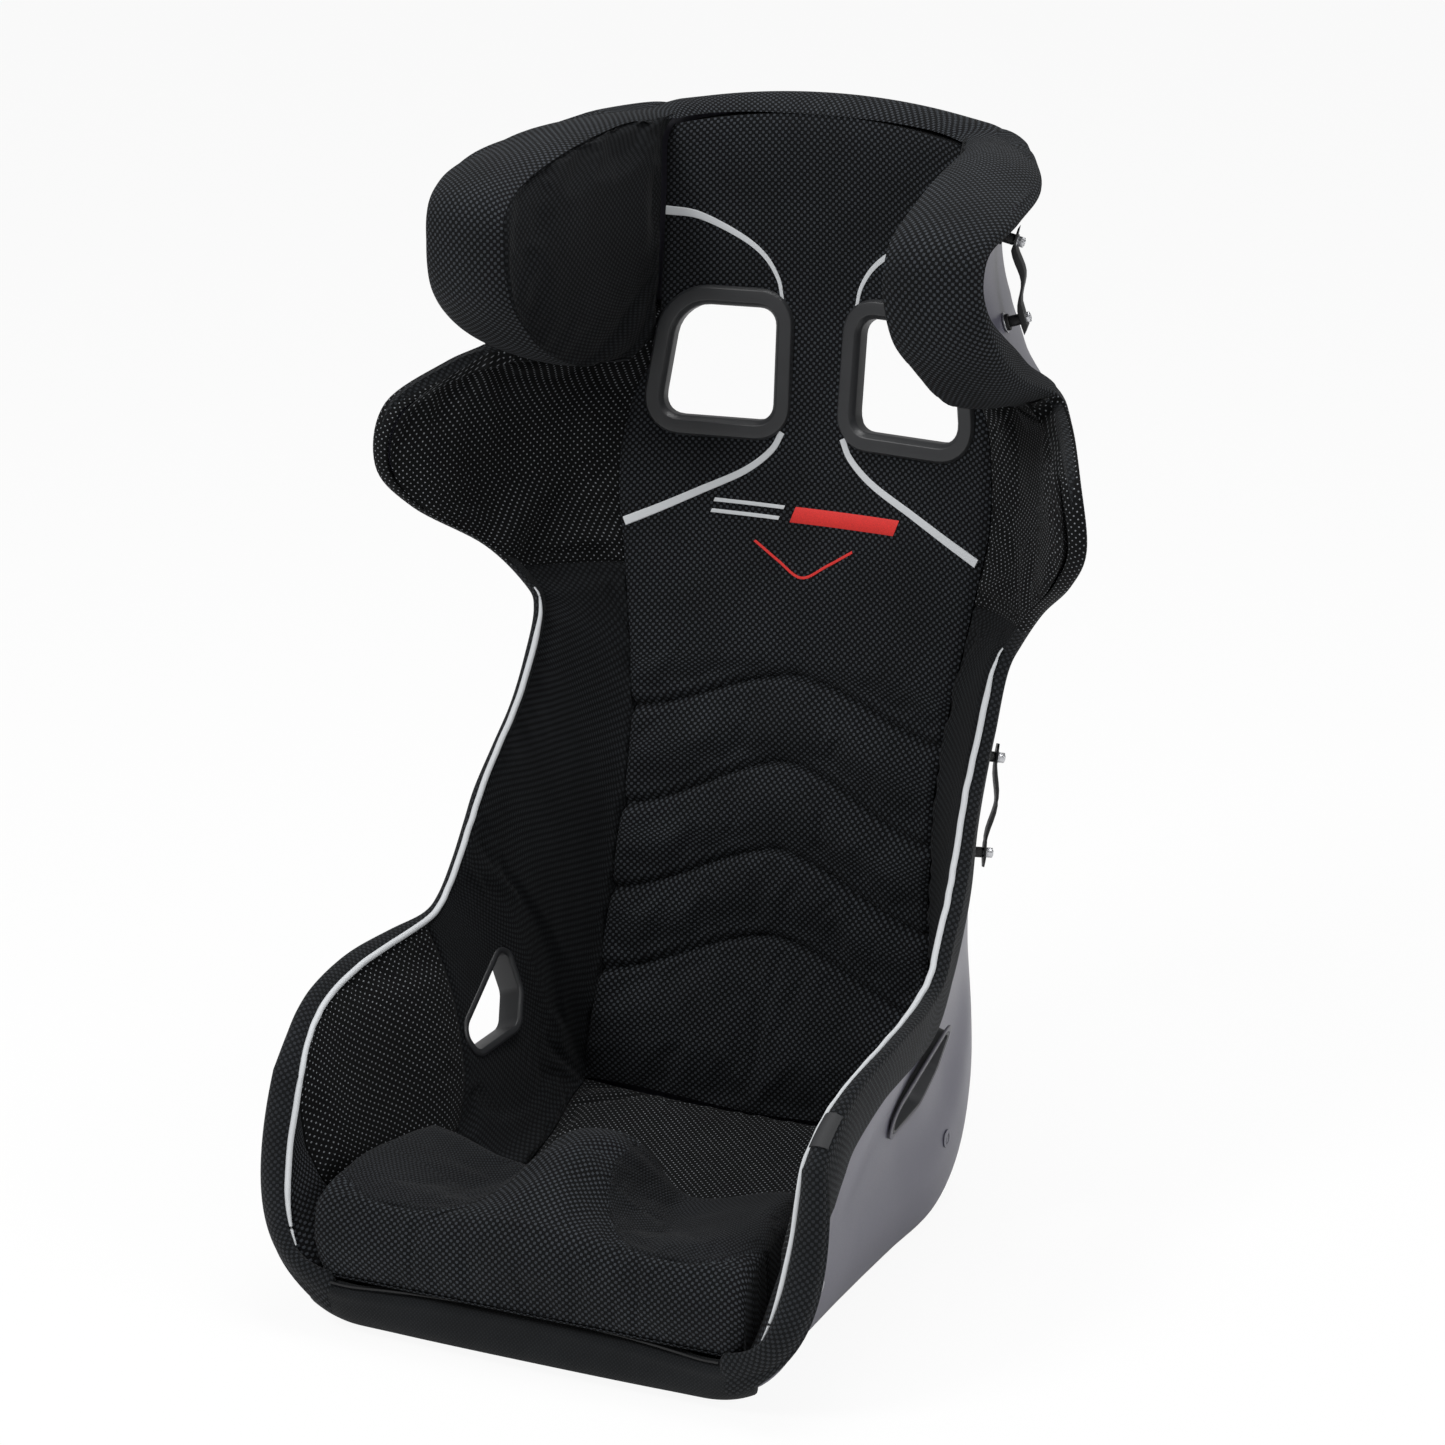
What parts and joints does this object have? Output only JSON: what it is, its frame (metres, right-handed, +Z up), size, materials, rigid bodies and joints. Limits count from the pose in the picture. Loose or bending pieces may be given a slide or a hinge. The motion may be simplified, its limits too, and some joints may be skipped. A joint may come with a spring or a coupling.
{
  "type": "competition bucket seat",
  "caption": "One-piece bucket seat with knitted cushions, shoulder wings, padded head wings, belt slots and a lift-off leg cushion.",
  "frame": {"origin": "on the flat underside of the shell, on the seat's plane of symmetry, where the seat rests on a flat floor", "axes": "+Z up, -Y the way the driver faces, +X to the side that is on the right in the picture, which is the driver's left"},
  "size_m": [0.6172, 0.5985, 0.8725],
  "materials": {
    "gelcoat": "smooth grey-violet gelcoat",
    "waffle_knit": "black waffle knit over foam",
    "smooth_knit": "fine black knit over foam",
    "grip_fabric": "black cloth with small grip dots over foam",
    "edge_cloth": "plain black cloth",
    "reflective_cord": "silver-white reflective cord",
    "moulded_plastic": "satin dark grey",
    "zinc_steel": "bright zinc plate",
    "black_plastic": "satin black"
  },
  "bodies": {
    "seat": {"shell": "gelcoat", "base_cushion": "grip_fabric", "back_cushion": "waffle_knit", "thigh_pad_left": "grip_fabric", "side_pad_left": "smooth_knit", "shoulder_pad_left": "grip_fabric", "head_wing_pad_left": "waffle_knit", "edge_trim_left": "edge_cloth", "wing_trim_left": "edge_cloth", "piping_left": "reflective_cord", "shoulder_slot_bezel_left": "moulded_plastic", "shoulder_slot_ring_left": "moulded_plastic", "lap_slot_bezel_left": "moulded_plastic", "lap_slot_ring_left": "moulded_plastic", "side_insert_rear_left": "zinc_steel", "side_insert_front_left": "zinc_steel", "strap_wing_left": "black_plastic", "strap_bolt_wing_left_top": "zinc_steel", "strap_spacer_wing_left_top": "black_plastic", "strap_nut_wing_left_top": "zinc_steel", "strap_bolt_wing_left_foot": "zinc_steel", "strap_spacer_wing_left_foot": "black_plastic", "strap_nut_wing_left_foot": "zinc_steel", "strap_waist_left": "black_plastic", "strap_bolt_waist_left_top": "zinc_steel", "strap_spacer_waist_left_top": "black_plastic", "strap_nut_waist_left_top": "zinc_steel", "strap_bolt_waist_left_foot": "zinc_steel", "strap_spacer_waist_left_foot": "black_plastic", "strap_nut_waist_left_foot": "zinc_steel", "thigh_pad_right": "grip_fabric", "side_pad_right": "smooth_knit", "shoulder_pad_right": "grip_fabric", "head_wing_pad_right": "waffle_knit", "edge_trim_right": "edge_cloth", "wing_trim_right": "edge_cloth", "piping_right": "reflective_cord", "shoulder_slot_bezel_right": "moulded_plastic", "shoulder_slot_ring_right": "moulded_plastic", "lap_slot_bezel_right": "moulded_plastic", "lap_slot_ring_right": "moulded_plastic", "side_insert_rear_right": "zinc_steel", "side_insert_front_right": "zinc_steel", "strap_wing_right": "black_plastic", "strap_bolt_wing_right_top": "zinc_steel", "strap_spacer_wing_right_top": "black_plastic", "strap_nut_wing_right_top": "zinc_steel", "strap_bolt_wing_right_foot": "zinc_steel", "strap_spacer_wing_right_foot": "black_plastic", "strap_nut_wing_right_foot": "zinc_steel", "strap_waist_right": "black_plastic", "strap_bolt_waist_right_top": "zinc_steel", "strap_spacer_waist_right_top": "black_plastic", "strap_nut_waist_right_top": "zinc_steel", "strap_bolt_waist_right_foot": "zinc_steel", "strap_spacer_waist_right_foot": "black_plastic", "strap_nut_waist_right_foot": "zinc_steel", "front_trim": "edge_cloth", "top_trim": "edge_cloth"},
    "leg_cushion": {"leg_support_cushion": "waffle_knit"}
  },
  "joints": [
    {"name": "leg_cushion_lift", "type": "slide", "parent": "seat", "child": "leg_cushion", "axis": [0, 0, 1], "range_m": [0, 0.12]}
  ]
}
